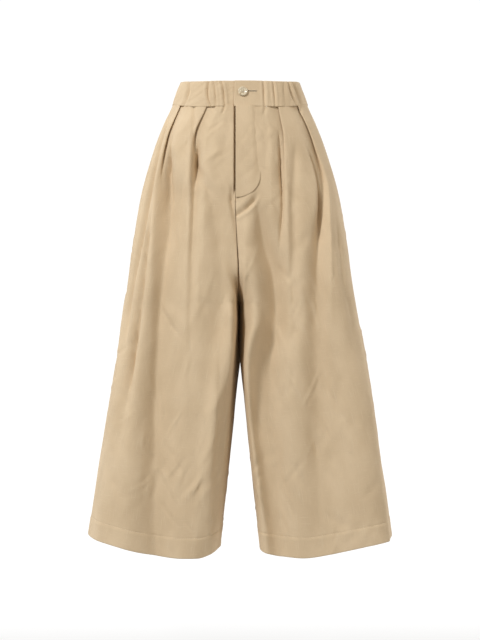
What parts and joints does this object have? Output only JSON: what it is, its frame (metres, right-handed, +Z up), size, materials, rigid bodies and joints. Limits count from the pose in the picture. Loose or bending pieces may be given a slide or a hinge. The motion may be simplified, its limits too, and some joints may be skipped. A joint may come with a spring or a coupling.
{
  "type": "palazzo pants",
  "caption": "Wide-leg palazzo pants with a gathered waistband, forward knife pleats, a fly flap with a rounded end and a waist button, held open as worn.",
  "frame": {"origin": "centre of the waist opening, halfway up the waistband at the centre front", "axes": "+Z up along the wearer, -Y the way the wearer faces, +X the wearer's left"},
  "size_m": [0.5854, 0.2977, 0.9045],
  "materials": {
    "waistband": "matte woven linen and cotton",
    "front_panel_left": "matte woven linen and cotton",
    "front_panel_right": "matte woven linen and cotton",
    "back_panel_left": "matte woven linen and cotton",
    "back_panel_right": "matte woven linen and cotton",
    "fly_flap": "matte woven linen and cotton",
    "fly_shield": "matte woven linen and cotton",
    "button": "pearly, with a raised rim"
  },
  "bodies": {
    "root": {"waistband": "waistband", "front_panel_left": "front_panel_left", "front_panel_right": "front_panel_right", "back_panel_left": "back_panel_left", "back_panel_right": "back_panel_right", "fly_flap": "fly_flap", "fly_shield": "fly_shield", "button": "button"}
  },
  "joints": []
}
